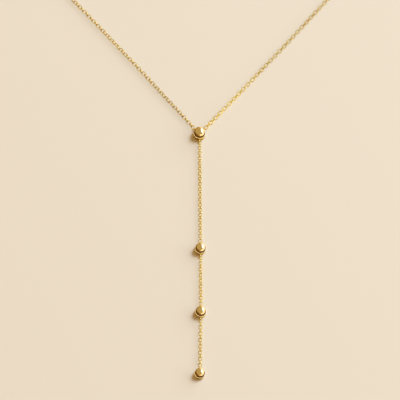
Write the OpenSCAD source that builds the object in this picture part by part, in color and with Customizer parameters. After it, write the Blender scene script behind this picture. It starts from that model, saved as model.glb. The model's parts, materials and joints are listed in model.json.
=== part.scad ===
// Y necklace: a fine cable chain that closes round the neck, a beaded junction where its two
// front strands meet, and a drop chain that hangs from it with three smaller beaded stations.
// It lies on a flat surface at z = 0. The origin is the centre of the junction cup's flat back,
// the neck loop runs towards +Y and the drop towards -Y. Lengths are in millimetres.

/* [Neck loop] */
// Length of the closed loop, with the junction and the clasp
neck_length = 450; // [380:5:600]
// Angle between each front strand and the centre line, in degrees
strand_angle = 40.6; // [32:0.2:50]
// Sideways bow of the front strands as they lie
strand_bow = 0.35; // [0:0.05:1]
// Length of each front strand that is built link by link
front_length = 62; // [40:1:70]

/* [Drop] */
// From the junction to the first station
drop_1 = 41.6; // [30:0.2:60]
// From the first station to the second
drop_2 = 22.3; // [16:0.1:30]
// From the second station to the end station
drop_3 = 21.5; // [16:0.1:30]
// Sideways place of the first station
side_1 = 0.3; // [-1:0.1:1]
// Sideways place of the second station
side_2 = 0.4; // [-1:0.1:1]
// Sideways place of the end station
side_3 = 0.1; // [-1:0.1:1]

/* [Neck chain links] */
// Outer length of a link of the neck chain
neck_link_length = 1.8; // [1.75:0.05:2]
// Its outer width
neck_link_width = 1.48; // [1.3:0.02:1.6]
// Thickness of its wire
neck_link_wire = 0.25; // [0.22:0.01:0.28]

/* [Drop chain links] */
// Outer length of a link of the first drop
drop_1_link_length = 1.56; // [1.5:0.01:1.6]
// The same for the second drop
drop_2_link_length = 1.65; // [1.6:0.01:1.7]
// The same for the third drop
drop_3_link_length = 1.74; // [1.7:0.01:1.8]
// Outer width of these links
drop_link_width = 1.42; // [1.3:0.01:1.48]
// Thickness of their wire
drop_link_wire = 0.25; // [0.22:0.01:0.27]

/* [Chain play] */
// Clearance between two links of a taut chain, and between a link and an eye
link_play = 0.12; // [0.1:0.01:0.16]

/* [Roll of the links] */
// Mean roll of the left front strand about its own line, in degrees
left_roll = 13; // [0:1:45]
// Mean roll of the right front strand
right_roll = 15; // [0:1:45]
// Mean roll of the first drop
drop_1_roll = 22; // [0:1:64]
// Mean roll of the second drop
drop_2_roll = 42; // [0:1:64]
// Mean roll of the third drop
drop_3_roll = 28; // [0:1:64]
// Slow change of roll along the front strands, in degrees
strand_wave = 14; // [0:1:20]
// Slow change of roll along the drops
drop_wave = 5; // [0:1:10]

/* [Junction] */
// Diameter of the junction bead
junction_bead_d = 3.4; // [2.8:0.1:3.6]
// Diameter of the junction cup over its rim
junction_cup_d = 4.1; // [4:0.1:5]
// Height of the junction cup
junction_cup_h = 1.9; // [1.7:0.1:2.4]

/* [Stations] */
// Diameter of the beads of the two middle stations
station_bead_d = 3; // [2.5:0.1:3.1]
// Diameter of their cups over the rim
station_cup_d = 3.7; // [3.6:0.1:4.2]
// Height of their cups
station_cup_h = 1.6; // [1.5:0.1:2]
// Diameter of the bead of the end station
end_bead_d = 2.8; // [2.4:0.1:2.9]
// Diameter of its cup over the rim
end_cup_d = 3.55; // [3.5:0.05:4]
// Height of its cup
end_cup_h = 1.5; // [1.5:0.1:2]

/* [Cups] */
// Height of a bead's centre above its cup's rim
bead_rise = 0.8; // [0.5:0.05:0.9]
// Thickness of the rim
rim_wall = 0.3; // [0.26:0.01:0.34]
// Depth of the groove between rim and bead
groove_depth = 0.35; // [0.2:0.05:0.4]
// How much smaller in radius the flat back is than the rim
cup_taper = 0.2; // [0:0.05:0.3]
// Clearance between a bead and its seat
seat_gap = 0.05; // [0.03:0.01:0.08]

/* [Eyes] */
// Hole of the eyes soldered to the cups and the clasp
eye_hole = 0.72; // [0.7:0.01:0.8]
// Thickness of their wire
eye_wire = 0.3; // [0.25:0.01:0.32]

/* [Clasp] */
// Diameter of the barrel clasp
barrel_d = 2.2; // [2:0.1:3]
// Length of the barrel between its eyes
barrel_length = 7; // [5:0.5:10]

/* [Hidden] */

$fn = 36;
GOLD = [0.83, 0.66, 0.33];
BRIGHT_GOLD = [0.90, 0.74, 0.42];
LEFT = -1;
RIGHT = 1;

// A link: outer length, outer width, wire
NECK_LINK = [neck_link_length, neck_link_width, neck_link_wire];
DROP_LINKS = [
  for (length = [drop_1_link_length, drop_2_link_length, drop_3_link_length])
    [length, drop_link_width, drop_link_wire]
];
function long(link) = link[0];
function wide(link) = link[1];
function wire(link) = link[2];

// A station: place, bead diameter, cup diameter, cup height
STATIONS = [
  [[0, 0], junction_bead_d, junction_cup_d, junction_cup_h],
  [[side_1, -drop_1], station_bead_d, station_cup_d, station_cup_h],
  [[side_2, -drop_1 - drop_2], station_bead_d, station_cup_d, station_cup_h],
  [[side_3, -drop_1 - drop_2 - drop_3], end_bead_d, end_cup_d, end_cup_h]
];
function place(station) = station[0];
function bead_d(station) = station[1];
function cup_d(station) = station[2];
function cup_h(station) = station[3];

// Loop: two straight strands that run tangent into one arc
loop_r = neck_length / (2 / tan(strand_angle) + PI * (1 + strand_angle / 90));
straight = loop_r / tan(strand_angle);
loop_centre = loop_r / sin(strand_angle);
strand_length = neck_length / 2;

// Eyes: rings of round wire, set on edge, that the end links pass through. They are as high as
// the middle of a link that stands on the surface.
eye_r = (eye_hole + eye_wire) / 2;
eye_bury = 0.05;
eye_z = max(eye_r + eye_wire / 2, wide(NECK_LINK) / 2, drop_link_width / 2);
clasp_z = barrel_d / 2;

// Length over which a chain turns and settles beside an eye
settle = 11;
// Length of one wave of a chain's roll, and where it starts
wave_length = 25.5;
wave_start = 9;

// From an eye's centre to the centre of the link that hangs in it
function hook_reach(l) = eye_r - eye_wire / 2 - link_play - wire(l) + long(l) / 2;

// From link to link of a taut chain
function taut_pitch(l) = long(l) - 2 * wire(l) - link_play;

function cup_wall_r(s, z) = cup_d(s) / 2 - cup_taper * (1 - z / cup_h(s));
function eye_place(s) = cup_wall_r(s, eye_z) + eye_r - eye_bury;
function bead_z(s) = cup_h(s) + bead_rise;

// Neck chain: first and last link's distance along a strand, with an odd count between
neck_start = eye_place(STATIONS[0]) + hook_reach(NECK_LINK);
clasp_eye_place = barrel_length / 2 + eye_r - eye_bury;
neck_end = strand_length - clasp_eye_place - hook_reach(NECK_LINK);
neck_count = 2 * ceil((neck_end - neck_start) / taut_pitch(NECK_LINK) / 2) + 1;
neck_pitch = (neck_end - neck_start) / (neck_count - 1);
front_count = floor((front_length - neck_start) / neck_pitch);

// Back strands: plain round tubes of the chain's width, with a ring every few millimetres
tube_sides = 8;
tube_rings = 40;
tube_r = wide(NECK_LINK) / 2;
tube_flat = tube_r * cos(180 / tube_sides);
tube_start = neck_start + (front_count - 1) * neck_pitch + long(NECK_LINK) / 2 + link_play;
tube_end = strand_length - clasp_eye_place - eye_r - eye_wire / 2 - link_play;

// Heading of a strand at distance s, in degrees from +Y towards its own side
function heading(s) = strand_angle - max(0, s - straight) / loop_r * 180 / PI;

// Place of a strand's line at distance s from the junction
function strand_place(side, s) =
  s < straight
    ? s * [side * sin(strand_angle), cos(strand_angle)]
      + strand_bow * sin(180 * s / straight) * [cos(strand_angle), -side * sin(strand_angle)]
    : [side * loop_r * cos(heading(s)), loop_centre - loop_r * sin(heading(s))];

// 0 at both ends of a chain, rising to 1 over the settling length
function ease(s, length) = sin(90 * min(1, s / settle, (length - s) / settle));

// Roll of a chain about its line, beside the quarter turn from link to link. A lay is the mean
// roll and how far the roll swings from it.
function chain_roll(lay, s, length) =
  ease(s, length) * (lay[0] + lay[1] * sin(360 * (s - wave_start) / wave_length));

// Height of the chain's line over the surface that links of this roll touch
function rest_z(l, roll) =
  (wide(l) - wire(l)) / 2 * max(abs(cos(roll)), abs(sin(roll))) + wire(l) / 2;

// The same with a rise to the eye at each end
function chain_z(l, roll, s, length, z_near, z_far) =
  rest_z(l, roll)
  + ((s < length / 2 ? z_near : z_far) - wide(l) / 2) * (1 - ease(s, length));

module half_ring(r, wire_d) {
  rotate_extrude(angle = 180)
    translate([r, 0]) circle(d = wire_d);
}

module ring(r, wire_d) {
  rotate_extrude()
    translate([r, 0]) circle(d = wire_d);
}

// One oval link that lies flat, long along X
module link(l) {
  bend_r = (wide(l) - wire(l)) / 2;
  straight_half = (long(l) - wide(l)) / 2;
  for (end = [0, 180])
    rotate([0, 0, end - 90])
      translate([0, straight_half, 0])
        half_ring(bend_r, wire(l));
  for (side = [-1, 1])
    translate([-straight_half, side * bend_r, 0])
      rotate([0, 90, 0])
        cylinder(h = 2 * straight_half, d = wire(l));
}

// A ring on edge whose hole looks sideways, dist away from the origin along X
module eye(dist, z) {
  translate([dist, 0, z])
    rotate([90, 0, 0])
      ring(eye_r, eye_wire);
}

// Cup with a flat back, a tapered wall, a round rim, a groove and a seat for the bead
module cup(s) {
  rim_r = cup_d(s) / 2;
  base_edge = 0.12;
  difference() {
    rotate_extrude()
      difference() {
        union() {
          polygon([
            [0, 0],
            [rim_r - cup_taper - base_edge, 0],
            [rim_r - cup_taper, base_edge],
            [rim_r, cup_h(s) - rim_wall / 2],
            [0, cup_h(s) - rim_wall / 2]
          ]);
          translate([rim_r - rim_wall / 2, cup_h(s) - rim_wall / 2])
            circle(d = rim_wall);
        }
        translate([-rim_r, cup_h(s) - groove_depth])
          square([2 * rim_r - rim_wall, groove_depth]);
      }
    translate([0, 0, bead_z(s)])
      sphere(d = bead_d(s) + 2 * seat_gap);
  }
}

// A cup at its place with an eye towards each of the given headings
module set_cup(s, headings) {
  color(GOLD)
    translate(place(s)) {
      cup(s);
      for (h = headings)
        rotate([0, 0, h]) eye(eye_place(s), eye_z);
    }
}

module set_bead(s) {
  color(BRIGHT_GOLD)
    translate([place(s)[0], place(s)[1], bead_z(s)])
      sphere(d = bead_d(s));
}

// Heading from one station to another, in degrees from +X
function toward(a, b) = atan2(place(b)[1] - place(a)[1], place(b)[0] - place(a)[0]);

// Loose interlocking links between two stations, each a quarter turn from the last
module drop_chain(a, b, l, lay) {
  span = norm(place(b) - place(a));
  first = eye_place(a) + hook_reach(l);
  length = span - eye_place(b) - hook_reach(l) - first;
  steps = 2 * ceil(length / taut_pitch(l) / 2);
  color(GOLD)
    translate(place(a))
      rotate([0, 0, toward(a, b)])
        for (i = [0:steps]) {
          s = length * i / steps;
          roll = chain_roll(lay, s, length);
          translate([first + s, 0, chain_z(l, roll, s, length, eye_z, eye_z)])
            rotate([roll + 90 * i, 0, 0])
              link(l);
        }
}

// Links of a front strand, from the junction's eye on
module front_chain(side, lay) {
  length = neck_end - neck_start;
  color(GOLD)
    for (i = [0:front_count - 1]) {
      s = neck_pitch * i;
      roll = chain_roll(lay, s, length);
      translate(strand_place(side, neck_start + s))
        translate([0, 0, chain_z(NECK_LINK, roll, s, length, eye_z, clasp_z)])
          rotate([0, 0, 90 - side * heading(neck_start + s)])
            rotate([roll + 90 * i, 0, 0])
              link(NECK_LINK);
    }
}

// One ring of a tube's points round the strand's line at distance s
function tube_ring(side, s) =
  let (
    spot = strand_place(side, s),
    across = [cos(heading(s)), -side * sin(heading(s))],
    rise = (clasp_z - tube_flat) * (1 - ease(s - neck_start, neck_end - neck_start)),
    z = tube_flat + (s > strand_length / 2 ? rise : 0)
  )
  [
    for (k = [0:tube_sides - 1])
      let (turn = 360 * (k + 0.5) / tube_sides)
      [
        spot[0] + tube_r * cos(turn) * across[0],
        spot[1] + tube_r * cos(turn) * across[1],
        z + tube_r * sin(turn)
      ]
  ];

// The rest of a strand, round the back to the clasp's eye
module back_chain(side) {
  distances = [for (i = [0:tube_rings - 1]) tube_start + (tube_end - tube_start) * i / (tube_rings - 1)];
  points = [for (s = distances) each tube_ring(side, s)];
  walls = [
    for (i = [0:tube_rings - 2], k = [0:tube_sides - 1])
      let (next = (k + 1) % tube_sides)
      [
        i * tube_sides + k,
        i * tube_sides + next,
        (i + 1) * tube_sides + next,
        (i + 1) * tube_sides + k
      ]
  ];
  near_cap = [for (k = [tube_sides - 1:-1:0]) k];
  far_cap = [for (k = [0:tube_sides - 1]) (tube_rings - 1) * tube_sides + k];
  color(GOLD)
    polyhedron(points = points, faces = concat(walls, [near_cap, far_cap]));
}

// Plain barrel with domed ends and a soldered eye at each end
module clasp() {
  end_r = 0.5;
  color(GOLD)
    translate([0, loop_centre + loop_r, 0]) {
      translate([0, 0, clasp_z])
        rotate([0, 90, 0])
          rotate_extrude()
            union() {
              translate([0, -barrel_length / 2])
                square([barrel_d / 2 - end_r, barrel_length]);
              translate([0, end_r - barrel_length / 2])
                square([barrel_d / 2, barrel_length - 2 * end_r]);
              for (side = [-1, 1])
                translate([barrel_d / 2 - end_r, side * (barrel_length / 2 - end_r)])
                  circle(r = end_r);
            }
      for (turn = [0, 180])
        rotate([0, 0, turn]) eye(clasp_eye_place, clasp_z);
    }
}

JUNCTION_EYES = [90 + strand_angle, 90 - strand_angle, toward(STATIONS[0], STATIONS[1])];

set_cup(STATIONS[0], JUNCTION_EYES);  // junction_cup
set_bead(STATIONS[0]);  // junction_bead
set_cup(STATIONS[1], [toward(STATIONS[1], STATIONS[0]), toward(STATIONS[1], STATIONS[2])]);  // station_1_cup
set_bead(STATIONS[1]);  // station_1_bead
set_cup(STATIONS[2], [toward(STATIONS[2], STATIONS[1]), toward(STATIONS[2], STATIONS[3])]);  // station_2_cup
set_bead(STATIONS[2]);  // station_2_bead
set_cup(STATIONS[3], [toward(STATIONS[3], STATIONS[2])]);  // end_cup
set_bead(STATIONS[3]);  // end_bead
drop_chain(STATIONS[0], STATIONS[1], DROP_LINKS[0], [drop_1_roll, drop_wave]);  // drop_chain_1
drop_chain(STATIONS[1], STATIONS[2], DROP_LINKS[1], [drop_2_roll, drop_wave]);  // drop_chain_2
drop_chain(STATIONS[2], STATIONS[3], DROP_LINKS[2], [drop_3_roll, drop_wave]);  // drop_chain_3
front_chain(LEFT, [left_roll, strand_wave]);  // front_chain_left
front_chain(RIGHT, [right_roll, strand_wave]);  // front_chain_right
back_chain(LEFT);  // back_chain_left
back_chain(RIGHT);  // back_chain_right
clasp();
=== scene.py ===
"""Looks of a fine gold Y necklace that lies on a pale floor, beads up.

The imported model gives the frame. Its cups, beads and chains are modelled again here at the same
places with softened rims, soldered eyes and real links, the barrel clasp keeps its own shape, and
every piece is dressed in gold that is built from shader nodes.
"""

import json
import logging
import math
import random
from collections.abc import Callable, Iterator
from contextlib import contextmanager
from dataclasses import dataclass, field
from enum import Enum

import bmesh
import bpy
from mathutils import Matrix, Vector

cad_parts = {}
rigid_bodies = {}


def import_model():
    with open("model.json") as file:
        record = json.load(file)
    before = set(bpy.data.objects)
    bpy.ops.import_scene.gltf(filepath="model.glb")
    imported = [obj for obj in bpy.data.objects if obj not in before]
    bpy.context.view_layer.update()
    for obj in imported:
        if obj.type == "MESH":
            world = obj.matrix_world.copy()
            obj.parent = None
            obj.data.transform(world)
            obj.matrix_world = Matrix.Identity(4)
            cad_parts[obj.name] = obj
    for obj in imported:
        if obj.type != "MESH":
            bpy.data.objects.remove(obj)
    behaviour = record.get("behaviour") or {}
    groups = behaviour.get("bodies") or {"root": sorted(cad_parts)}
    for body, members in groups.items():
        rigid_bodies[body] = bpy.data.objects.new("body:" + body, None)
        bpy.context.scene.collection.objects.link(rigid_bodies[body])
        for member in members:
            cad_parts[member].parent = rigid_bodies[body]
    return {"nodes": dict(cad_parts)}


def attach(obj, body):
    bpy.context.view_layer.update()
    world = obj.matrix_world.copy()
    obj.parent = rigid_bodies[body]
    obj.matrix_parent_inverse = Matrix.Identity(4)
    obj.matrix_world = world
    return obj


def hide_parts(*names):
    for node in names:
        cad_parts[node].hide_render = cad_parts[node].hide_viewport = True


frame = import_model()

log = logging.getLogger("necklace")

MM = 0.001
BODY = "root"
# Vertices that lie this close are merged, and a place this near a level counts as on it
DOUBLES = MM / 10000
NEAR = 0.006 * MM

# Edges that turn by more than this stay sharp
SMOOTH_ANGLE = math.radians(40)

Colour = tuple[float, float, float]
Range = tuple[float, float]
Mesh = bpy.types.Object
Socket = bpy.types.NodeSocket


class Side(Enum):
    """Side of the necklace, as the sign of its x."""

    LEFT = -1
    RIGHT = 1


class Element(Enum):
    """Kind of mesh element that is picked in edit mode."""

    VERTS = "VERT"
    EDGES = "EDGE"
    FACES = "FACE"


def clamp(value: float, top: float = 1.0) -> float:
    """Hold a number between 0 and a top."""
    return max(0.0, min(top, value))


# Modelling


def clear_selection() -> None:
    """Deselect every object."""
    bpy.ops.object.select_all(action="DESELECT")


def activate(piece: Mesh) -> None:
    """Select one object alone and make it the active one.

    Args:
        piece: The object.
    """
    clear_selection()
    piece.select_set(True)
    bpy.context.view_layer.objects.active = piece


def name_active(name: str) -> Mesh:
    """Name the active object, such as a primitive that was just added.

    Args:
        name: Name of the piece.

    Returns:
        The object.
    """
    piece = bpy.context.view_layer.objects.active
    piece.name = name
    piece.data.name = name
    return piece


@contextmanager
def editing(piece: Mesh) -> Iterator[None]:
    """Keep one object in edit mode, with nothing picked at the start.

    Args:
        piece: The object to edit.

    Yields:
        Nothing.
    """
    activate(piece)
    bpy.ops.object.mode_set(mode="EDIT")
    bpy.ops.mesh.select_all(action="DESELECT")
    yield
    bpy.ops.object.mode_set(mode="OBJECT")


def pick(piece: Mesh, kind: Element, wanted: Callable[[Vector], bool]) -> None:
    """Select in edit mode the elements whose middle passes a test.

    Args:
        piece: The object in edit mode.
        kind: Whether vertices, edges or faces are picked.
        wanted: Test of an element's middle.
    """
    bpy.ops.mesh.select_mode(type=kind.value)
    bpy.ops.mesh.select_all(action="DESELECT")
    mesh = bmesh.from_edit_mesh(piece.data)
    if kind is Element.VERTS:
        for vert in mesh.verts:
            vert.select_set(wanted(vert.co))
    elif kind is Element.EDGES:
        for edge in mesh.edges:
            edge.select_set(wanted((edge.verts[0].co + edge.verts[1].co) / 2))
    else:
        for face in mesh.faces:
            face.select_set(wanted(face.calc_center_median()))
    mesh.select_flush_mode()
    bmesh.update_edit_mesh(piece.data)


def apply_modifier(piece: Mesh, kind: str, **settings: object) -> None:
    """Add a modifier and apply it at once.

    Args:
        piece: The object that gets it.
        kind: Blender's name of the modifier's type.
        **settings: Values of the modifier's properties.
    """
    activate(piece)
    modifier = piece.modifiers.new(kind.lower(), kind)
    for key, value in settings.items():
        setattr(modifier, key, value)
    bpy.ops.object.modifier_apply(modifier=modifier.name)


def fuse(piece: Mesh, other: Mesh) -> None:
    """Unite another object with this one and remove it.

    Args:
        piece: The object that stays.
        other: The object that becomes part of it.
    """
    apply_modifier(piece, "BOOLEAN", operation="UNION", object=other, solver="EXACT")
    bpy.data.objects.remove(other)


def settle_mesh(piece: Mesh) -> None:
    """Put an object's place into its mesh, merge doubles and turn its faces outwards.

    Args:
        piece: The finished piece.
    """
    activate(piece)
    bpy.ops.object.transform_apply(location=True, rotation=True, scale=True)
    with editing(piece):
        bpy.ops.mesh.select_all(action="SELECT")
        bpy.ops.mesh.remove_doubles(threshold=DOUBLES)
        bpy.ops.mesh.normals_make_consistent(inside=False)


def shade(piece: Mesh, angle: float = SMOOTH_ANGLE) -> None:
    """Shade a piece smoothly, apart from its sharp edges.

    Args:
        piece: The piece to shade.
        angle: Edges that turn by more than this stay sharp.
    """
    activate(piece)
    bpy.ops.object.shade_smooth_by_angle(angle=angle)


def paint(piece: Mesh, name: str, value: Callable[[Vector], float]) -> None:
    """Give each vertex a number that a material can read.

    Args:
        piece: The piece.
        name: Name of the attribute.
        value: The number for a vertex at that place.
    """
    attribute = piece.data.attributes.new(name, "FLOAT", "POINT")
    for vert, cell in zip(piece.data.vertices, attribute.data):
        cell.value = value(vert.co)


def place_piece(piece: Mesh, material: bpy.types.Material, slot: str, *nodes: str) -> None:
    """Dress a finished piece and tie it to the frame.

    Args:
        piece: The piece.
        material: Its finish.
        slot: The record's material slot, which is not used.
        *nodes: The frame's nodes that it stands for.
    """
    piece.data.materials.clear()
    piece.data.materials.append(material)
    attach(piece, BODY)
    if nodes:
        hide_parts(*nodes)
    log.info("%s: %d faces", piece.name, len(piece.data.polygons))


# Finishes


class Graph:
    """A node tree under construction."""

    def __init__(self, tree: bpy.types.NodeTree) -> None:
        """Start with an empty tree.

        Args:
            tree: The tree of a material, world or group.
        """
        self.tree = tree
        tree.nodes.clear()

    def add(self, kind: str, **settings: object) -> bpy.types.Node:
        """Add a node.

        Args:
            kind: Type name of the node, without its "ShaderNode" start.
            **settings: Values of the node's own properties.

        Returns:
            The node.
        """
        prefix = "" if kind.startswith("NodeGroup") else "ShaderNode"
        node = self.tree.nodes.new(prefix + kind)
        for key, value in settings.items():
            setattr(node, key, value)
        return node

    def link(self, source: Socket, target: Socket) -> None:
        """Join an output to an input."""
        self.tree.links.new(source, target)

    def feed(self, value: Socket | float | tuple[float, ...], target: Socket) -> None:
        """Give an input another node's output, or a constant.

        Args:
            value: The output or the constant.
            target: The input.
        """
        if isinstance(value, Socket):
            self.link(value, target)
        else:
            target.default_value = value

    def noise(self, vector: Socket, scale: Socket | float, detail: float) -> Socket:
        """Add a noise texture.

        Args:
            vector: Coordinates that it reads.
            scale: Patches per metre, as a socket or a constant.
            detail: Octaves of finer noise.

        Returns:
            Its value from 0 to 1.
        """
        node = self.add("TexNoise")
        node.inputs["Detail"].default_value = detail
        self.feed(scale, node.inputs["Scale"])
        self.link(vector, node.inputs["Vector"])
        return node.outputs["Fac"]

    def remap(self, value: Socket, source: Range, target: Range = (0, 1)) -> Socket:
        """Map one range of numbers smoothly onto another, clamped.

        Args:
            value: The number.
            source: Its range.
            target: The range that it is mapped to.

        Returns:
            The mapped number.
        """
        node = self.add("MapRange", interpolation_type="SMOOTHSTEP")
        node.inputs["From Min"].default_value, node.inputs["From Max"].default_value = source
        node.inputs["To Min"].default_value, node.inputs["To Max"].default_value = target
        self.link(value, node.inputs["Value"])
        return node.outputs["Result"]

    def math(self, operation: str, first: Socket, second: Socket | float) -> Socket:
        """Combine two numbers.

        Args:
            operation: Blender's name of the operation.
            first: The first number.
            second: The second, as a socket or a constant.

        Returns:
            The result.
        """
        node = self.add("Math", operation=operation)
        self.link(first, node.inputs[0])
        self.feed(second, node.inputs[1])
        return node.outputs[0]

    def mix(self, mask: Socket, low: Socket | Colour, high: Socket | Colour) -> Socket:
        """Blend two colours.

        Args:
            mask: 0 gives the low colour and 1 the high one.
            low: The colour at 0.
            high: The colour at 1.

        Returns:
            The blended colour.
        """
        node = self.add("Mix", data_type="RGBA")
        self.link(mask, node.inputs["Factor"])
        for name, colour in (("A", low), ("B", high)):
            socket = next(s for s in node.inputs if s.name == name and s.type == "RGBA")
            self.feed(colour if isinstance(colour, Socket) else (*colour, 1), socket)
        return next(s for s in node.outputs if s.type == "RGBA")


def new_group(
    name: str, inputs: dict[str, tuple[str, object]], outputs: dict[str, str]
) -> tuple[Graph, bpy.types.Node, bpy.types.Node]:
    """Start a shader node group with named sockets.

    Args:
        name: Name of the group.
        inputs: Socket type and default value by name.
        outputs: Socket type by name.

    Returns:
        Its graph, and its input and output nodes.
    """
    tree = bpy.data.node_groups.new(name, "ShaderNodeTree")
    for label, (kind, value) in inputs.items():
        kind = "NodeSocket" + kind
        socket = tree.interface.new_socket(name=label, in_out="INPUT", socket_type=kind)
        socket.default_value = value
    for label, kind in outputs.items():
        tree.interface.new_socket(name=label, in_out="OUTPUT", socket_type="NodeSocket" + kind)
    graph = Graph(tree)
    return graph, graph.add("NodeGroupInput"), graph.add("NodeGroupOutput")


# Where noise turns into patches, scratches and grains, and how the scratches run
PATCH_EDGE: Range = (0.42, 0.66)
SCRATCH_EDGE: Range = (0.35, 0.65)
SCRATCH_STRETCH = (1, 9, 3)
SCRATCH_TURN = (0.4, 0.2, 0.7)
GRAINS_PER_METRE = 9000
GRAIN_EDGE: Range = (0.3, 0.7)
GRAIN_SPREAD: Range = (0.85, 1.1)


def polish_wear_group() -> None:
    """Build the group for smudges and hairline scratches on polished metal.

    It puts out a roughness and a height for a bump.
    """
    graph, given, result = new_group(
        "polish_wear",
        {
            "Smooth": ("Float", 0.1),
            "Dull": ("Float", 0.25),
            "Patch Scale": ("Float", 900.0),
            "Scratch Scale": ("Float", 6000.0),
        },
        {"Roughness": "Float", "Height": "Float"},
    )
    place = graph.add("TexCoord").outputs["Object"]
    patches = graph.noise(place, given.outputs["Patch Scale"], detail=3)
    dulled = graph.remap(patches, PATCH_EDGE)
    streaks = graph.add("Mapping")
    streaks.inputs["Scale"].default_value = SCRATCH_STRETCH
    streaks.inputs["Rotation"].default_value = SCRATCH_TURN
    graph.link(place, streaks.inputs["Vector"])
    scratches = graph.noise(streaks.outputs["Vector"], given.outputs["Scratch Scale"], detail=2)
    height = graph.remap(scratches, SCRATCH_EDGE)
    spread = graph.math("SUBTRACT", given.outputs["Dull"], given.outputs["Smooth"])
    extra = graph.math("MULTIPLY", spread, dulled)
    graph.link(graph.math("ADD", extra, given.outputs["Smooth"]), result.inputs["Roughness"])
    graph.link(height, result.inputs["Height"])


def patina_and_shade_group() -> None:
    """Build the group that darkens gold by a mask of patina and painted shade.

    It takes the metal's colour, the colour of the patina and painted shade and their mask, and
    puts out the colour and the mask as it breaks up at its edge.
    """
    graph, given, result = new_group(
        "recess_patina",
        {
            "Metal": ("Color", (1.0, 0.8, 0.4, 1)),
            "Patina": ("Color", (0.2, 0.1, 0.02, 1)),
            "Recess": ("Float", 0.0),
            "Amount": ("Float", 1.0),
        },
        {"Color": "Color", "Mask": "Float"},
    )
    place = graph.add("TexCoord").outputs["Object"]
    grains = graph.remap(graph.noise(place, GRAINS_PER_METRE, detail=3), GRAIN_EDGE, GRAIN_SPREAD)
    broken = graph.math("MULTIPLY", given.outputs["Recess"], grains)
    mask = graph.math("MULTIPLY", broken, given.outputs["Amount"])
    clamped = graph.math("MINIMUM", mask, 1.0)
    colour = graph.mix(clamped, given.outputs["Metal"], given.outputs["Patina"])
    graph.link(colour, result.inputs["Color"])
    graph.link(clamped, result.inputs["Mask"])


@dataclass(frozen=True)
class GoldFinish:
    """A finish of gold plate, from mirror polish to soft wear.

    Colours are linear. A piece's tone attribute turns the metal to the worn colour and adds up to
    worn_dull to its roughness. Its mask of patina and painted shade turns it to the colour of
    patina and painted shade, which adds a roughness of its own. The edge colour is what the metal
    turns to where it is seen at a low angle. The smooth and dull values are roughnesses, the
    scales and the turned lines are per metre, and the scratch depth is in metres.
    """

    name: str
    metal: Colour
    worn: Colour
    patina: Colour
    edge: Colour
    smooth: float
    dull: float
    patch_scale: float
    scratch_scale: float
    scratch_depth: float
    patina_amount: float = 1.0
    patina_dull: float = 0.25
    worn_dull: float = 0.0
    turned_lines: float = 0.0
    line_waver: float = 0.6

    def material(self) -> bpy.types.Material:
        """Build the material.

        Returns:
            The material, which follows the pieces' tone attribute and their mask of patina and
            painted shade.
        """
        material = bpy.data.materials.new(self.name)
        material.use_nodes = True
        graph = Graph(material.node_tree)
        output = graph.add("OutputMaterial")
        metal = graph.add("BsdfPrincipled")
        graph.link(metal.outputs["BSDF"], output.inputs["Surface"])
        metal.inputs["Metallic"].default_value = 1.0
        metal.inputs["Specular Tint"].default_value = (*self.edge, 1)

        wear = graph.add("Group")
        wear.node_tree = bpy.data.node_groups["polish_wear"]
        wear.inputs["Smooth"].default_value = self.smooth
        wear.inputs["Dull"].default_value = self.dull
        wear.inputs["Patch Scale"].default_value = self.patch_scale
        wear.inputs["Scratch Scale"].default_value = self.scratch_scale

        tone = graph.add("Attribute", attribute_name="tone").outputs["Fac"]
        # Mask of patina and painted shade: painted shade where links touch, down the cups' walls
        # and on the beads' lower left
        recess = graph.add("Attribute", attribute_name="recess").outputs["Fac"]
        patina = graph.add("Group")
        patina.node_tree = bpy.data.node_groups["recess_patina"]
        patina.inputs["Patina"].default_value = (*self.patina, 1)
        patina.inputs["Amount"].default_value = self.patina_amount
        graph.link(graph.mix(tone, self.metal, self.worn), patina.inputs["Metal"])
        graph.link(recess, patina.inputs["Recess"])
        graph.link(patina.outputs["Color"], metal.inputs["Base Color"])

        stained_and_shaded = graph.math("MULTIPLY", patina.outputs["Mask"], self.patina_dull)
        worn = graph.math("MULTIPLY", tone, self.worn_dull)
        duller = graph.math("ADD", stained_and_shaded, worn)
        graph.link(graph.math("ADD", wear.outputs["Roughness"], duller), metal.inputs["Roughness"])

        height = wear.outputs["Height"]
        if self.turned_lines:
            height = graph.math("ADD", height, self._lines(graph))
        bump = graph.add("Bump")
        bump.inputs["Strength"].default_value = 1.0
        bump.inputs["Distance"].default_value = self.scratch_depth
        graph.link(height, bump.inputs["Height"])
        graph.link(bump.outputs["Normal"], metal.inputs["Normal"])
        return material

    def _lines(self, graph: Graph) -> Socket:
        """Add the fine level lines that a lathe leaves on a wall.

        Args:
            graph: The material's graph.

        Returns:
            Their height.
        """
        place = graph.add("TexCoord").outputs["Object"]
        wave = graph.add("TexWave", wave_type="BANDS", bands_direction="Z")
        wave.inputs["Scale"].default_value = self.turned_lines
        wave.inputs["Distortion"].default_value = self.line_waver
        graph.link(place, wave.inputs["Vector"])
        return wave.outputs["Fac"]


BEAD_GOLD = GoldFinish(
    name="bead_gold",
    metal=(0.95, 0.70, 0.31),
    worn=(0.95, 0.65, 0.27),
    patina=(0.24, 0.10, 0.012),
    edge=(0.85, 0.72, 0.50),
    smooth=0.08,
    dull=0.15,
    patch_scale=900,
    scratch_scale=9000,
    scratch_depth=0.0000004,
)
CUP_GOLD = GoldFinish(
    name="cup_gold",
    metal=(0.90, 0.70, 0.20),
    worn=(0.97, 0.81, 0.50),
    patina=(0.40, 0.21, 0.025),
    edge=(0.70, 0.46, 0.12),
    smooth=0.16,
    dull=0.28,
    patch_scale=1400,
    scratch_scale=7000,
    scratch_depth=0.000002,
    worn_dull=0.2,
    turned_lines=4200,
)
CHAIN_GOLD = GoldFinish(
    name="chain_gold",
    metal=(0.97, 0.72, 0.10),
    worn=(0.98, 0.67, 0.09),
    patina=(0.05, 0.03, 0.004),
    edge=(0.95, 0.70, 0.20),
    smooth=0.05,
    dull=0.12,
    patch_scale=1800,
    scratch_scale=9000,
    scratch_depth=0.0000015,
    patina_amount=0.8,
)
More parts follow.
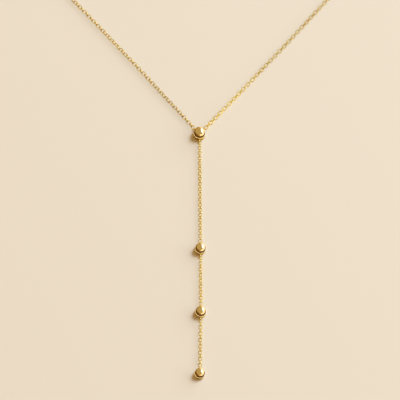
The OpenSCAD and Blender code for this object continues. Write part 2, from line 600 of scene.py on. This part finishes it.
CLASP_GOLD = GoldFinish(
    name="clasp_gold",
    metal=(0.86, 0.69, 0.32),
    worn=(0.87, 0.65, 0.28),
    patina=(0.12, 0.055, 0.008),
    edge=(0.75, 0.55, 0.25),
    smooth=0.12,
    dull=0.24,
    patch_scale=1100,
    scratch_scale=7000,
    scratch_depth=0.0000018,
)


# Chains


@dataclass(frozen=True)
class LinkSize:
    """Outer length, outer width and wire of a link."""

    length: float
    width: float
    wire: float

    @property
    def bend(self) -> float:
        """Radius of the bends to the middle of the wire."""
        return (self.width - self.wire) / 2

    @property
    def straight(self) -> float:
        """Half the length of the straight sides."""
        return (self.length - self.width) / 2

    def steps(self, length: float, play: float) -> int:
        """Even number of steps from link to link that reach a length with at least that play."""
        taut_pitch = self.length - 2 * self.wire - play
        return 2 * math.ceil(length / taut_pitch / 2)

    def rest_height(self, roll: float) -> float:
        """Height of the middle of a rolled link that touches the floor, as does its neighbour."""
        reach = max(abs(math.cos(roll)), abs(math.sin(roll)))
        return self.bend * reach + self.wire / 2


NECK_LINK = LinkSize(length=1.8 * MM, width=1.48 * MM, wire=0.25 * MM)
DROP_LINKS = (
    LinkSize(length=1.56 * MM, width=1.42 * MM, wire=0.25 * MM),
    LinkSize(length=1.65 * MM, width=1.42 * MM, wire=0.25 * MM),
    LinkSize(length=1.74 * MM, width=1.42 * MM, wire=0.25 * MM),
)


@dataclass(frozen=True)
class Eye:
    """The soldered ring that an end link passes through, and the play between rings.

    The solder at its root is a ball of that share of the wire, drawn into an oval.
    """

    hole: float = 0.72 * MM
    wire: float = 0.3 * MM
    bury: float = 0.05 * MM
    play: float = 0.12 * MM
    ring_sides: int = 40
    wire_sides: int = 14
    solder: float = 0.85
    solder_oval: tuple[float, float, float] = (0.7, 0.9, 1.15)
    solder_sides: int = 20
    solder_rings: int = 12

    @property
    def radius(self) -> float:
        """Radius to the middle of the wire."""
        return (self.hole + self.wire) / 2

    @property
    def height(self) -> float:
        """Height of an eye's middle, level with links that stand on the floor."""
        widest = max(link.width for link in (NECK_LINK, *DROP_LINKS))
        return max(self.radius + self.wire / 2, widest / 2)

    def hook_reach(self, link: LinkSize) -> float:
        """Distance from the eye's middle to the middle of the link in it."""
        return self.radius - self.wire / 2 - self.play - link.wire + link.length / 2


@dataclass(frozen=True)
class ChainLay:
    """How a chain rolls about its own line and settles beside its eyes.

    Angles are in radians. The wave is the slow change of the roll along the chain.
    """

    link: LinkSize
    roll: float
    wave: float
    length: float
    near_height: float
    far_height: float
    wave_length: float = 25.5 * MM
    wave_start: float = 9 * MM
    settle: float = 11 * MM

    def ease(self, s: float) -> float:
        """0 at both ends of the chain, 1 past the settling length."""
        return math.sin(math.pi / 2 * min(1, s / self.settle, (self.length - s) / self.settle))

    def roll_at(self, s: float) -> float:
        """Roll at a distance along the chain."""
        phase = math.tau * (s - self.wave_start) / self.wave_length
        return self.ease(s) * (self.roll + self.wave * math.sin(phase))

    def height_at(self, s: float) -> float:
        """Find the height of the chain's line.

        Args:
            s: Distance along the chain.

        Returns:
            The height there, which eases to the eye's at each end.
        """
        end_height = self.near_height if s < self.length / 2 else self.far_height
        rise = (end_height - self.link.width / 2) * (1 - self.ease(s))
        return self.link.rest_height(self.roll_at(s)) + rise


@dataclass(frozen=True)
class NeckRoute:
    """Line of the neck loop: two strands that run straight and then into one arc."""

    loop_length: float = 450 * MM
    angle: float = math.radians(40.6)
    bow: float = 0.35 * MM

    @property
    def radius(self) -> float:
        """Radius of the arc."""
        return self.loop_length / (2 / math.tan(self.angle) + math.pi + 2 * self.angle)

    @property
    def straight(self) -> float:
        """Length of each straight stretch."""
        return self.radius / math.tan(self.angle)

    @property
    def centre(self) -> float:
        """Distance of the arc's centre from the junction."""
        return self.radius / math.sin(self.angle)

    def heading(self, s: float) -> float:
        """Heading of a strand at a distance from the junction, from +Y towards its own side."""
        return self.angle - max(0, s - self.straight) / self.radius

    def place(self, side: Side, s: float) -> Vector:
        """Place of a strand's line.

        Args:
            side: The strand.
            s: Distance from the junction along it.

        Returns:
            The place, at height zero.
        """
        sign = side.value
        if s < self.straight:
            along = s * Vector((sign * math.sin(self.angle), math.cos(self.angle), 0))
            across = Vector((math.cos(self.angle), -sign * math.sin(self.angle), 0))
            return along + self.bow * math.sin(math.pi * s / self.straight) * across
        turn = self.heading(s)
        return Vector(
            (sign * self.radius * math.cos(turn), self.centre - self.radius * math.sin(turn), 0)
        )


@dataclass
class LinkPattern:
    """One oval link of round wire with a soldered seam, which every link of a chain copies.

    The inner sides of its straights get the side share of patina and painted shade, and those of
    its bends the bend share where they start and the full share further round, where the links
    touch.
    """

    size: LinkSize
    bend_steps: int = 7
    wire_sides: int = 5
    seam_swell: float = 1.14
    # Patina and painted shade on the inner sides, where links touch
    side_patina_and_shade: float = 0.25
    bend_patina_and_shade: float = 0.5

    def build(self) -> Mesh:
        """Model the link flat, long along X, with its middle at the origin.

        Returns:
            The link.
        """
        bend, straight = self.size.bend, self.size.straight
        clear_selection()
        bpy.ops.mesh.primitive_circle_add(
            vertices=self.wire_sides,
            radius=self.size.wire / 2,
            location=(straight, -bend, 0),
            rotation=(0, math.pi / 2, 0),
        )
        link = name_active("link")
        bpy.ops.object.transform_apply(location=True, rotation=True, scale=True)
        with editing(link):
            bpy.ops.mesh.select_all(action="SELECT")
            self._bend_round(straight)
            self._draw_to(-straight)
            self._swell(self.seam_swell, bend)
            self._draw_to(-straight)
            self._swell(1 / self.seam_swell, bend)
            self._bend_round(-straight)
            self._draw_to(2 * straight)
        settle_mesh(link)
        shade(link, math.pi)
        paint(link, "recess", self._recess)
        return link

    def _bend_round(self, x: float) -> None:
        """Spin the picked ring half a turn about the middle of a bend."""
        bpy.ops.mesh.spin(steps=self.bend_steps, angle=math.pi, center=(x, 0, 0), axis=(0, 0, -1))

    def _draw_to(self, distance: float) -> None:
        """Draw the picked ring out along X."""
        bpy.ops.mesh.extrude_region_move(TRANSFORM_OT_translate={"value": (distance, 0, 0)})

    def _swell(self, factor: float, y: float) -> None:
        """Scale the picked ring about the middle of its wire."""
        bpy.ops.transform.resize(value=(1, factor, factor), center_override=(0, y, 0))

    def _recess(self, co: Vector) -> float:
        """How much patina and painted shade a vertex gets on the inner side, where the links
        touch.

        Args:
            co: Its place on the link.

        Returns:
            0 on the outer side, the side share inside a straight, up to 1 inside a bend.
        """
        past = abs(co.x) - self.size.straight
        radial = math.hypot(max(0, past), co.y)
        inner = (self.size.bend - radial) / (self.size.wire / 2)
        return clamp(inner) * max(self.side_patina_and_shade, clamp(past / self.size.bend + self.bend_patina_and_shade))


@dataclass
class Chain:
    """A run of interlocking links, each a quarter turn from the last."""

    name: str
    lay: ChainLay
    pitch: float
    line: Callable[[float], tuple[Vector, float]]
    nodes: tuple[str, ...]

    def build(self, pattern: Mesh, first: int, last: int, material: bpy.types.Material) -> None:
        """Copy the link along the line, join the copies and dress them.

        Args:
            pattern: The link to copy.
            first: Number of the first link of this run.
            last: Number of its last link.
            material: The finish.
        """
        shades = random.Random(self.name)
        copies = [self._copy(pattern, i, shades.random()) for i in range(first, last + 1)]
        clear_selection()
        for copy in copies:
            copy.select_set(True)
        bpy.context.view_layer.objects.active = copies[0]
        bpy.ops.object.join()
        place_piece(name_active(self.name), material, "chain_gold", *self.nodes)

    def _copy(self, pattern: Mesh, number: int, tone: float) -> Mesh:
        """Copy the link to its place.

        Args:
            pattern: The link to copy.
            number: The copy's number along the chain.
            tone: Its tone from 0 to 1.

        Returns:
            The copy, with a mesh of its own.
        """
        s = self.pitch * number
        spot, heading = self.line(s)
        spot = spot + Vector((0, 0, self.lay.height_at(s)))
        roll = self.lay.roll_at(s) + number * math.pi / 2
        mesh = pattern.data.copy()
        placed = Matrix.Translation(spot) @ Matrix.Rotation(heading, 4, "Z")
        mesh.transform(placed @ Matrix.Rotation(roll, 4, "X"))
        copy = bpy.data.objects.new(f"{self.name}_{number}", mesh)
        bpy.context.scene.collection.objects.link(copy)
        paint(copy, "tone", lambda co: tone)
        return copy


# Cups and beads


@dataclass
class Station:
    """A polished bead in a turned cup with soldered eyes.

    The headings of its eyes are in radians from +X. The cup and the bead replace the nodes of
    those names. The flat and the peg under the bead and the painted shade on it, which leans to
    the left, are shares of its radius, and the rim's rounding is a share of its wall. Patina and
    painted shade deepen down the groove by their rise, and painted shade deepens down the wall by
    that rise, from an unshaded top to the wall's full share. The groove's patina and shade start,
    and the rim's shine ends, that share of the rim's wall in from the outside.
    """

    cup_node: str
    bead_node: str
    x: float
    y: float
    bead_d: float
    cup_d: float
    height: float
    headings: tuple[float, ...] = ()
    eye: Eye = Eye()
    bead_rise: float = 0.8 * MM
    rim_wall: float = 0.3 * MM
    groove_depth: float = 0.35 * MM
    taper: float = 0.2 * MM
    base_edge: float = 0.12 * MM
    seat_gap: float = 0.05 * MM
    sides: int = 72
    seat_steps: int = 5
    rim_round: float = 0.48
    rim_segments: int = 5
    base_segments: int = 3
    # Painted shade down the wall, and patina with painted shade in the groove
    wall_painted_shade: float = 0.75
    wall_unshaded_top: float = 0.1
    patina_and_shade_rise: float = 1.2
    groove_from: float = 0.7
    shine_from: float = 1.1
    bead_sides: int = 64
    bead_rings: int = 40
    flat_level: float = 0.9
    peg_inset: float = 0.12
    peg_length: float = 0.08
    # Painted shade on the bead: where it starts below the middle, how far it leans left and how
    # soon it is full
    painted_shade_edge: float = 0.38
    painted_shade_lean: float = 0.3
    painted_shade_fade: float = 0.36

    @property
    def centre(self) -> Vector:
        """Middle of the cup's flat back."""
        return Vector((self.x, self.y, 0))

    @property
    def bead_height(self) -> float:
        """Height of the bead's middle."""
        return self.height + self.bead_rise

    @property
    def eye_place(self) -> float:
        """Distance of an eye's middle from the cup's axis."""
        wall = self.cup_d / 2 - self.taper * (1 - self.eye.height / self.height)
        return wall + self.eye.radius - self.eye.bury

    def toward(self, other: "Station") -> float:
        """Heading from this station to another, in radians from +X."""
        return math.atan2(other.y - self.y, other.x - self.x)

    def build_cup(self, material: bpy.types.Material) -> None:
        """Model the cup with its eyes.

        Args:
            material: The finish.
        """
        cup = self._turned_cup()
        for heading in self.headings:
            fuse(cup, self._ring(heading))
            fuse(cup, self._solder(heading))
        cup.location = self.centre
        settle_mesh(cup)
        shade(cup)
        paint(cup, "recess", self._cup_recess)
        paint(cup, "tone", self._rim_shine)
        place_piece(cup, material, "cup_gold", self.cup_node)

    def _turned_cup(self) -> Mesh:
        """Model the cup's turned body at the origin.

        Returns:
            The cup without its eyes.
        """
        radius = self.cup_d / 2
        clear_selection()
        bpy.ops.mesh.primitive_cylinder_add(
            vertices=self.sides, radius=radius, depth=self.height, location=(0, 0, self.height / 2)
        )
        cup = name_active(self.cup_node + "_turned")
        bpy.ops.object.transform_apply(location=True, rotation=True, scale=True)
        with editing(cup):
            pick(cup, Element.VERTS, lambda co: co.z < NEAR)
            narrow = (radius - self.taper) / radius
            bpy.ops.transform.resize(value=(narrow, narrow, 1), center_override=(0, 0, 0))
            pick(cup, Element.FACES, lambda co: co.z > self.height - NEAR)
            bpy.ops.mesh.inset(thickness=self.rim_wall)
            bpy.ops.mesh.extrude_region_move(
                TRANSFORM_OT_translate={"value": (0, 0, -self.groove_depth)}
            )
            self._sink_seat(radius - self.rim_wall)
            self._round_rim(cup)
            pick(cup, Element.EDGES, lambda co: co.z < NEAR and co.xy.length > radius / 2)
            bpy.ops.mesh.bevel(
                offset=self.base_edge, segments=self.base_segments, affect="EDGES"
            )
        return cup

    def _round_rim(self, cup: Mesh) -> None:
        """Round the two edges of the rim.

        Args:
            cup: The cup in edit mode.
        """
        bpy.ops.mesh.select_mode(type="EDGE")
        bpy.ops.mesh.select_all(action="DESELECT")
        mesh = bmesh.from_edit_mesh(cup.data)
        for edge in mesh.edges:
            radii = [vert.co.xy.length for vert in edge.verts]
            level = all(vert.co.z > self.height - NEAR for vert in edge.verts)
            edge.select_set(level and abs(radii[0] - radii[1]) < NEAR)
        mesh.select_flush_mode()
        bmesh.update_edit_mesh(cup.data)
        rounding = self.rim_wall * self.rim_round
        bpy.ops.mesh.bevel(offset=rounding, segments=self.rim_segments, affect="EDGES")

    def _sink_seat(self, groove_r: float) -> None:
        """Sink the bowl that the bead sits in, step by step, from the picked groove floor.

        Args:
            groove_r: Outer radius of the groove's floor.
        """
        ball = self.bead_d / 2 + self.seat_gap
        level = self.height - self.groove_depth
        bowl_r = self._bowl_radius(ball, level)
        bpy.ops.mesh.inset(thickness=groove_r - bowl_r)
        drop = (level - (self.bead_height - ball)) / self.seat_steps
        for _ in range(self.seat_steps - 1):
            level -= drop
            next_r = self._bowl_radius(ball, level)
            bpy.ops.mesh.extrude_region_move(TRANSFORM_OT_translate={"value": (0, 0, -drop)})
            ratio = next_r / bowl_r
            bpy.ops.transform.resize(value=(ratio, ratio, 1), center_override=(0, 0, level))
            bowl_r = next_r

    def _bowl_radius(self, ball: float, level: float) -> float:
        """Radius of the seat's bowl at a level, for a ball of that radius."""
        return math.sqrt(ball**2 - (self.bead_height - level) ** 2)

    def _ring(self, heading: float) -> Mesh:
        """Model an eye on edge beside the cup.

        Args:
            heading: Heading of the eye from the cup.

        Returns:
            The ring.
        """
        clear_selection()
        bpy.ops.mesh.primitive_torus_add(
            major_segments=self.eye.ring_sides,
            minor_segments=self.eye.wire_sides,
            major_radius=self.eye.radius,
            minor_radius=self.eye.wire / 2,
            rotation=(math.pi / 2, 0, heading),
            location=self._outward(heading, self.eye_place),
        )
        return name_active("eye_ring")

    def _solder(self, heading: float) -> Mesh:
        """Model the solder at an eye's root.

        Args:
            heading: Heading of the eye from the cup.

        Returns:
            The solder.
        """
        root = self.eye_place - self.eye.radius
        clear_selection()
        bpy.ops.mesh.primitive_uv_sphere_add(
            segments=self.eye.solder_sides,
            ring_count=self.eye.solder_rings,
            radius=self.eye.wire * self.eye.solder,
            rotation=(0, 0, heading),
            location=self._outward(heading, root),
        )
        solder = name_active("eye_solder")
        with editing(solder):
            bpy.ops.mesh.select_all(action="SELECT")
            bpy.ops.transform.resize(
                value=self.eye.solder_oval,
                orient_type="LOCAL",
                center_override=solder.location,
            )
        return solder

    def _outward(self, heading: float, distance: float) -> Vector:
        """Place at the eyes' height, that far out along a heading."""
        across = (distance * math.cos(heading), distance * math.sin(heading))
        return Vector((*across, self.eye.height))

    def _cup_recess(self, co: Vector) -> float:
        """How much a place gets of patina and painted shade in the groove, and of painted shade
        down the wall.

        Args:
            co: Its place on the cup.

        Returns:
            0 on the rim and the eyes, up to 1 in the groove.
        """
        radial = (co.xy - self.centre.xy).length
        depth = self.height - co.z
        # Patina and painted shade in the groove, then painted shade that deepens towards the
        # wall's foot
        if radial < self.cup_d / 2 - self.rim_wall * self.groove_from:
            return clamp(self.patina_and_shade_rise * depth / self.groove_depth)
        if radial < self.cup_d / 2 + self.eye.bury:
            return clamp(self.patina_and_shade_rise * depth / self.height - self.wall_unshaded_top, self.wall_painted_shade)
        return 0.0

    def _rim_shine(self, co: Vector) -> float:
        """How bright wear keeps a place on the rim.

        Args:
            co: Its place on the cup.

        Returns:
            1 on top of the rim, down to 0 half its wall's width below.
        """
        radial = (co.xy - self.centre.xy).length
        on_rim = radial > self.cup_d / 2 - self.rim_wall * self.shine_from
        return clamp(1 - (self.height - co.z) / (self.rim_wall / 2)) if on_rim else 0.0

    def build_bead(self, material: bpy.types.Material) -> None:
        """Model the bead, with the flat and the peg that hold it in its seat.

        Args:
            material: The finish.
        """
        radius = self.bead_d / 2
        flat = radius * self.flat_level
        clear_selection()
        bpy.ops.mesh.primitive_uv_sphere_add(
            segments=self.bead_sides, ring_count=self.bead_rings, radius=radius
        )
        bead = name_active(self.bead_node + "_polished")
        with editing(bead):
            bpy.ops.mesh.select_all(action="SELECT")
            bpy.ops.mesh.bisect(
                plane_co=(0, 0, -flat), plane_no=(0, 0, -1), clear_outer=True, use_fill=True
            )
            pick(bead, Element.FACES, lambda co: co.z < DOUBLES - flat)
            bpy.ops.mesh.inset(thickness=radius * self.peg_inset)
            bpy.ops.mesh.extrude_region_move(
                TRANSFORM_OT_translate={"value": (0, 0, -radius * self.peg_length)}
            )
        bead.location = self.centre + Vector((0, 0, self.bead_height))
        settle_mesh(bead)
        shade(bead)
        paint(bead, "recess", self._bead_recess)
        place_piece(bead, material, "bead_gold", self.bead_node)

    def _bead_recess(self, co: Vector) -> float:
        """Painted shade on the bead: darker towards the bottom and the left, away from the light
        on the right.

        Args:
            co: Its place on the bead.

        Returns:
            0 on the upper right, up to 1 of painted shade low down in the cup and on the left.
        """
        # Painted shade: darker towards the bottom and the left side
        up = (co.z - self.bead_height) / (self.bead_d / 2)
        right = (co.x - self.x) / (self.bead_d / 2)
        below = self.painted_shade_edge - up - self.painted_shade_lean * right
        return clamp(below / self.painted_shade_fade)


@dataclass(frozen=True)
class Drop:
    """One stretch of the drop chain, with links that roll by an angle in radians."""

    length: float
    link: LinkSize
    roll: float


@dataclass
class Necklace:
    """The whole necklace: its stations, chains and clasp."""

    route: NeckRoute = NeckRoute()
    eye: Eye = Eye()
    drops: tuple[Drop, Drop, Drop] = (
        Drop(length=41.6 * MM, link=DROP_LINKS[0], roll=math.radians(22)),
        Drop(length=22.3 * MM, link=DROP_LINKS[1], roll=math.radians(42)),
        Drop(length=21.5 * MM, link=DROP_LINKS[2], roll=math.radians(28)),
    )
    drop_wave: float = math.radians(5)
    strand_wave: float = math.radians(14)
    front_length: float = 62 * MM
    barrel_d: float = 2.2 * MM
    barrel_length: float = 7 * MM
    rolls: dict[Side, float] = field(
        default_factory=lambda: {Side.LEFT: math.radians(13), Side.RIGHT: math.radians(15)}
    )

    def stations(self) -> list[Station]:
        """Lay out the junction, the two middle stations and the end station.

        Returns:
            The stations from the junction down, with the headings of their eyes.
        """
        low = [-sum(drop.length for drop in self.drops[:count]) for count in range(4)]
        found = [
            Station(
                cup_node=f"{name}_cup",
                bead_node=f"{name}_bead",
                x=side * MM,
                y=y,
                bead_d=bead * MM,
                cup_d=cup * MM,
                height=height * MM,
                eye=self.eye,
            )
            for name, side, y, bead, cup, height in (
                ("junction", 0, low[0], 3.4, 4.1, 1.9),
                ("station_1", 0.3, low[1], 3.0, 3.7, 1.6),
                ("station_2", 0.4, low[2], 3.0, 3.7, 1.6),
                ("end", 0.1, low[3], 2.8, 3.55, 1.5),
            )
        ]
        strands = tuple(math.pi / 2 - side.value * self.route.angle for side in Side)
        for number, station in enumerate(found):
            neighbours = found[max(0, number - 1) : number] + found[number + 1 : number + 2]
            station.headings = tuple(station.toward(other) for other in neighbours)
        found[0].headings += strands
        return found

    def build(self) -> None:
        """Build and dress every piece."""
        chain_gold = CHAIN_GOLD.material()
        cup_gold = CUP_GOLD.material()
        bead_gold = BEAD_GOLD.material()
        stations = self.stations()
        for station in stations:
            station.build_cup(cup_gold)
            station.build_bead(bead_gold)
        self._build_drops(stations, chain_gold)
        self._build_neck(stations[0], chain_gold)
        self._dress_clasp(CLASP_GOLD.material())

    def _build_drops(self, stations: list[Station], material: bpy.types.Material) -> None:
        """Build the chains between the stations.

        Args:
            stations: The stations from the junction down.
            material: The chain's finish.
        """
        for number, drop in enumerate(self.drops, start=1):
            pattern = LinkPattern(drop.link).build()
            reach = self.eye.hook_reach(drop.link)
            upper, lower = stations[number - 1 : number + 1]
            heading = upper.toward(lower)
            first = upper.eye_place + reach
            length = (lower.centre - upper.centre).length - lower.eye_place - reach - first
            steps = drop.link.steps(length, self.eye.play)
            ahead = Vector((math.cos(heading), math.sin(heading), 0))
            start = upper.centre + first * ahead

            def line(
                s: float, start: Vector = start, ahead: Vector = ahead, heading: float = heading
            ) -> tuple[Vector, float]:
                """Place and heading at a distance along this drop."""
                return start + s * ahead, heading

            height = self.eye.height
            lay = ChainLay(drop.link, drop.roll, self.drop_wave, length, height, height)
            node = f"drop_chain_{number}"
            chain = Chain(f"drop_links_{number}", lay, length / steps, line, (node,))
            chain.build(pattern, 0, steps, material)
            bpy.data.objects.remove(pattern)

    def _build_neck(self, junction: Station, material: bpy.types.Material) -> None:
        """Build both strands of the neck chain, each as a front and a back run.

        Args:
            junction: The station that the strands start from.
            material: The chain's finish.
        """
        pattern = LinkPattern(NECK_LINK).build()
        reach = self.eye.hook_reach(NECK_LINK)
        start = junction.eye_place + reach
        clasp_eye = self.barrel_length / 2 + self.eye.radius - self.eye.bury
        length = self.route.loop_length / 2 - clasp_eye - reach - start
        steps = NECK_LINK.steps(length, self.eye.play)
        pitch = length / steps
        front_count = math.floor((self.front_length - start) / pitch)
        for side in Side:

            def line(s: float, side: Side = side) -> tuple[Vector, float]:
                """Follow this strand.

                Args:
                    s: Distance from the strand's first link.
                    side: The strand.

                Returns:
                    The place and the heading there.
                """
                along = start + s
                turn = math.pi / 2 - side.value * self.route.heading(along)
                return self.route.place(side, along), turn

            lay = ChainLay(
                link=NECK_LINK,
                roll=self.rolls[side],
                wave=self.strand_wave,
                length=length,
                near_height=self.eye.height,
                far_height=self.barrel_d / 2,
            )
            name = side.name.lower()
            front = Chain(f"front_links_{name}", lay, pitch, line, (f"front_chain_{name}",))
            front.build(pattern, 0, front_count - 1, material)
            back = Chain(f"back_links_{name}", lay, pitch, line, (f"back_chain_{name}",))
            back.build(pattern, front_count, steps, material)
        bpy.data.objects.remove(pattern)

    def _dress_clasp(self, material: bpy.types.Material) -> None:
        """Give the barrel clasp its finish.

        Args:
            material: The finish.
        """
        clasp = frame["nodes"]["clasp"]
        for slot in clasp.material_slots:
            slot.material = material
        log.info("clasp: dressed")


# Studio


# Watts per square metre of an area light that a mirror shows as 1
WATTS_PER_GLOW = 4


@dataclass(frozen=True)
class SoftLight:
    """A flat light that faces the necklace.

    Its heading from +X and its rise over the floor are in radians. Its glow is what a mirror
    that faces it would show, and mirrored says whether the gold shows it. Where the chains don't
    cast its shadow, their links are left out of it. Where only is given, it lights no piece but
    those with that word in their name.
    """

    name: str
    heading: float
    rise: float
    distance: float
    size: tuple[float, float]
    glow: float
    colour: Colour
    mirrored: bool = True
    chains_cast: bool = True
    only: str = ""

    def hang(self, target: Vector) -> None:
        """Hang the light, turned towards a place.

        Args:
            target: The place that it faces.
        """
        data = bpy.data.lights.new(self.name, "AREA")
        data.shape = "ELLIPSE"
        data.size, data.size_y = self.size
        area = math.pi / 4 * self.size[0] * self.size[1]
        data.energy = self.glow * WATTS_PER_GLOW * area
        data.color = self.colour
        light = bpy.data.objects.new(self.name, data)
        bpy.context.scene.collection.objects.link(light)
        light.visible_camera = False
        light.visible_glossy = self.mirrored
        if not self.chains_cast:
            blockers = self._pieces("blockers", lambda name: "links" not in name)
            light.light_linking.blocker_collection = blockers
        if self.only:
            receivers = self._pieces("receivers", lambda name: self.only in name)
            light.light_linking.receiver_collection = receivers
        flat = math.cos(self.rise)
        out = Vector(
            (flat * math.cos(self.heading), flat * math.sin(self.heading), math.sin(self.rise))
        )
        light.location = target + out * self.distance
        light.rotation_mode = "QUATERNION"
        light.rotation_quaternion = (-out).to_track_quat("-Z", "Y")

    def _pieces(self, use: str, wanted: Callable[[str], bool]) -> bpy.types.Collection:
        """Collect the pieces that block or receive this light.

        Args:
            use: What the pieces do with the light.
            wanted: Test of a piece's name.

        Returns:
            A collection of the pieces.
        """
        pieces = bpy.data.collections.new(f"{self.name}_{use}")
        for piece in bpy.context.scene.objects:
            if piece.type == "MESH" and wanted(piece.name):
                pieces.objects.link(piece)
        return pieces


@dataclass
class Studio:
    """Pale floor, soft window light from the right, warm fill and the camera.

    The gold mirrors the sky in tones of its own, and the floor in painted tones: darker and warmer
    than it is, painted bright to the right of the drop and dark to its left, a painted highlight
    and painted shade in the gold's reflections, each between where it starts and where it fades,
    as ranges of x. The mirrored sky has a soft window, whose edge is a range of the cosine of the
    angle from its middle.
    """

    floor_size: float = 8.0
    floor_gap: float = 0.02 * MM
    floor_roughness: float = 0.7
    floor_gloss: float = 0.2
    floor_colour: Colour = (0.80, 0.76, 0.70)
    # Painted floor tones that only the gold's reflections show: painted light to the right,
    # painted shade to the left
    painted_reflected_floor: Colour = (0.54, 0.43, 0.25)
    painted_bright_reflection: Colour = (1.4, 1.48, 1.75)
    bright_start: Range = (-3.5 * MM, 4.5 * MM)
    bright_fade: Range = (10 * MM, 26 * MM)
    bright_rest: float = 0.2
    painted_dark_reflection: Colour = (0.30, 0.18, 0.05)
    dark_start: Range = (-24 * MM, -11 * MM)
    dark_fade: Range = (-5 * MM, -1.5 * MM)
    sky: Colour = (0.42, 0.25, 0.085)
    mirrored_sky: Colour = (0.51, 0.42, 0.235)
    mirrored_window: Colour = (1.6, 1.95, 3.7)
    window_heading: float = math.radians(16)
    window_rise: float = math.radians(9)
    window_edge: Range = (0.50, 0.90)
    lights: tuple[SoftLight, ...] = (
        SoftLight(
            name="window",
            heading=math.radians(25),
            rise=math.radians(27),
            distance=3.0,
            size=(5.6, 2.6),
            glow=1.5,
            colour=(0.97, 1.0, 1.06),
            mirrored=False,
        ),
        SoftLight(
            name="key",
            heading=math.radians(36),
            rise=math.radians(57),
            distance=3.0,
            size=(1.1, 1.1),
            glow=13.9,
            colour=(0.87, 0.99, 1.02),
            mirrored=False,
            chains_cast=False,
        ),
        SoftLight(
            name="rim_card",
            heading=math.radians(190),
            rise=math.radians(60),
            distance=1.5,
            size=(1.6, 1.6),
            glow=1.8,
            colour=(1.0, 0.86, 0.66),
            only="cup",
        ),
        SoftLight(
            name="left_card",
            heading=math.radians(200),
            rise=math.radians(65),
            distance=1.5,
            size=(2.0, 2.0),
            glow=0.9,
            colour=(1.0, 0.9, 0.6),
            only="links_left",
        ),
    )
    camera_target: Vector = field(default_factory=lambda: Vector((0.15, -23.57, 0)) * MM)
    camera_rise: float = math.radians(66)
    camera_distance: float = 1.2
    field_width: float = 132 * MM
    sensor: float = 36.0
    clip: Range = (0.01, 20)

    def build(self) -> None:
        """Build floor, light and camera."""
        self._floor()
        self._sky()
        for light in self.lights:
            light.hang(self.camera_target)
        self._camera()

    def _floor(self) -> None:
        """Lay the pale floor just under the necklace."""
        clear_selection()
        bpy.ops.mesh.primitive_plane_add(size=self.floor_size, location=(0, 0, -self.floor_gap))
        floor = name_active("floor")
        material = bpy.data.materials.new("pale_floor")
        material.use_nodes = True
        graph = Graph(material.node_tree)
        output = graph.add("OutputMaterial")
        surface = graph.add("BsdfPrincipled")
        graph.link(surface.outputs["BSDF"], output.inputs["Surface"])
        mirrored = graph.add("LightPath").outputs["Is Glossy Ray"]
        # Mirror rays see the painted floor, which puts painted light and shade into the gold's
        # reflections
        colour = graph.mix(mirrored, self.floor_colour, self._floor_painted_for_reflections(graph))
        graph.link(colour, surface.inputs["Base Color"])
        surface.inputs["Roughness"].default_value = self.floor_roughness
        surface.inputs["Specular IOR Level"].default_value = self.floor_gloss
        floor.data.materials.append(material)

    def _floor_painted_for_reflections(self, graph: Graph) -> Socket:
        """Add the floor's painted colour as the gold mirrors it: darker and warmer, bright to the
        right and dark to the left, as painted light and shade in the gold's reflections.

        Args:
            graph: The floor material's graph.

        Returns:
            The colour.
        """
        place = graph.add("SeparateXYZ")
        graph.link(graph.add("TexCoord").outputs["Object"], place.inputs["Vector"])
        x = place.outputs["X"]
        reach = graph.remap(x, self.bright_fade, (1, self.bright_rest))
        bright = graph.math("MULTIPLY", reach, graph.remap(x, self.bright_start))
        fade = graph.remap(x, self.dark_fade, (1, 0))
        dark = graph.math("MULTIPLY", fade, graph.remap(x, self.dark_start))
        right = graph.mix(bright, self.painted_reflected_floor, self.painted_bright_reflection)
        return graph.mix(dark, right, self.painted_dark_reflection)

    def _sky(self) -> None:
        """Fill the room with dim warm light."""
        world = bpy.data.worlds.new("warm_room")
        bpy.context.scene.world = world
        world.use_nodes = True
        graph = Graph(world.node_tree)
        output = graph.add("OutputWorld")
        light = graph.add("Background")
        graph.link(light.outputs["Background"], output.inputs["Surface"])
        mirrored = graph.add("LightPath").outputs["Is Glossy Ray"]
        colour = graph.mix(mirrored, self.sky, self._sky_in_gold(graph))
        graph.link(colour, light.inputs["Color"])

    def _sky_in_gold(self, graph: Graph) -> Socket:
        """Add the sky's tones as the gold mirrors them.

        Args:
            graph: The world's graph.

        Returns:
            The colour.
        """
        flat = math.cos(self.window_rise)
        toward = graph.add("VectorMath", operation="DOT_PRODUCT")
        graph.link(graph.add("TexCoord").outputs["Generated"], toward.inputs[0])
        toward.inputs[1].default_value = (
            flat * math.cos(self.window_heading),
            flat * math.sin(self.window_heading),
            math.sin(self.window_rise),
        )
        window = graph.remap(toward.outputs["Value"], self.window_edge)
        return graph.mix(window, self.mirrored_sky, self.mirrored_window)

    def _camera(self) -> None:
        """Set the camera above the near end, looking towards +Y."""
        data = bpy.data.cameras.new("camera")
        data.sensor_width = self.sensor
        data.lens = self.sensor * self.camera_distance / self.field_width
        data.clip_start, data.clip_end = self.clip
        camera = bpy.data.objects.new("camera", data)
        bpy.context.scene.collection.objects.link(camera)
        back = Vector((0, -math.cos(self.camera_rise), math.sin(self.camera_rise)))
        camera.location = self.camera_target + back * self.camera_distance
        camera.rotation_mode = "QUATERNION"
        camera.rotation_quaternion = (-back).to_track_quat("-Z", "Y")
        bpy.context.scene.camera = camera


def main() -> None:
    logging.basicConfig(level=logging.INFO, format="%(name)s: %(message)s")
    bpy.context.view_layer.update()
    bpy.context.scene.view_settings.view_transform = "Standard"
    polish_wear_group()
    patina_and_shade_group()
    Necklace().build()
    Studio().build()


if __name__ == "__main__":
    main()
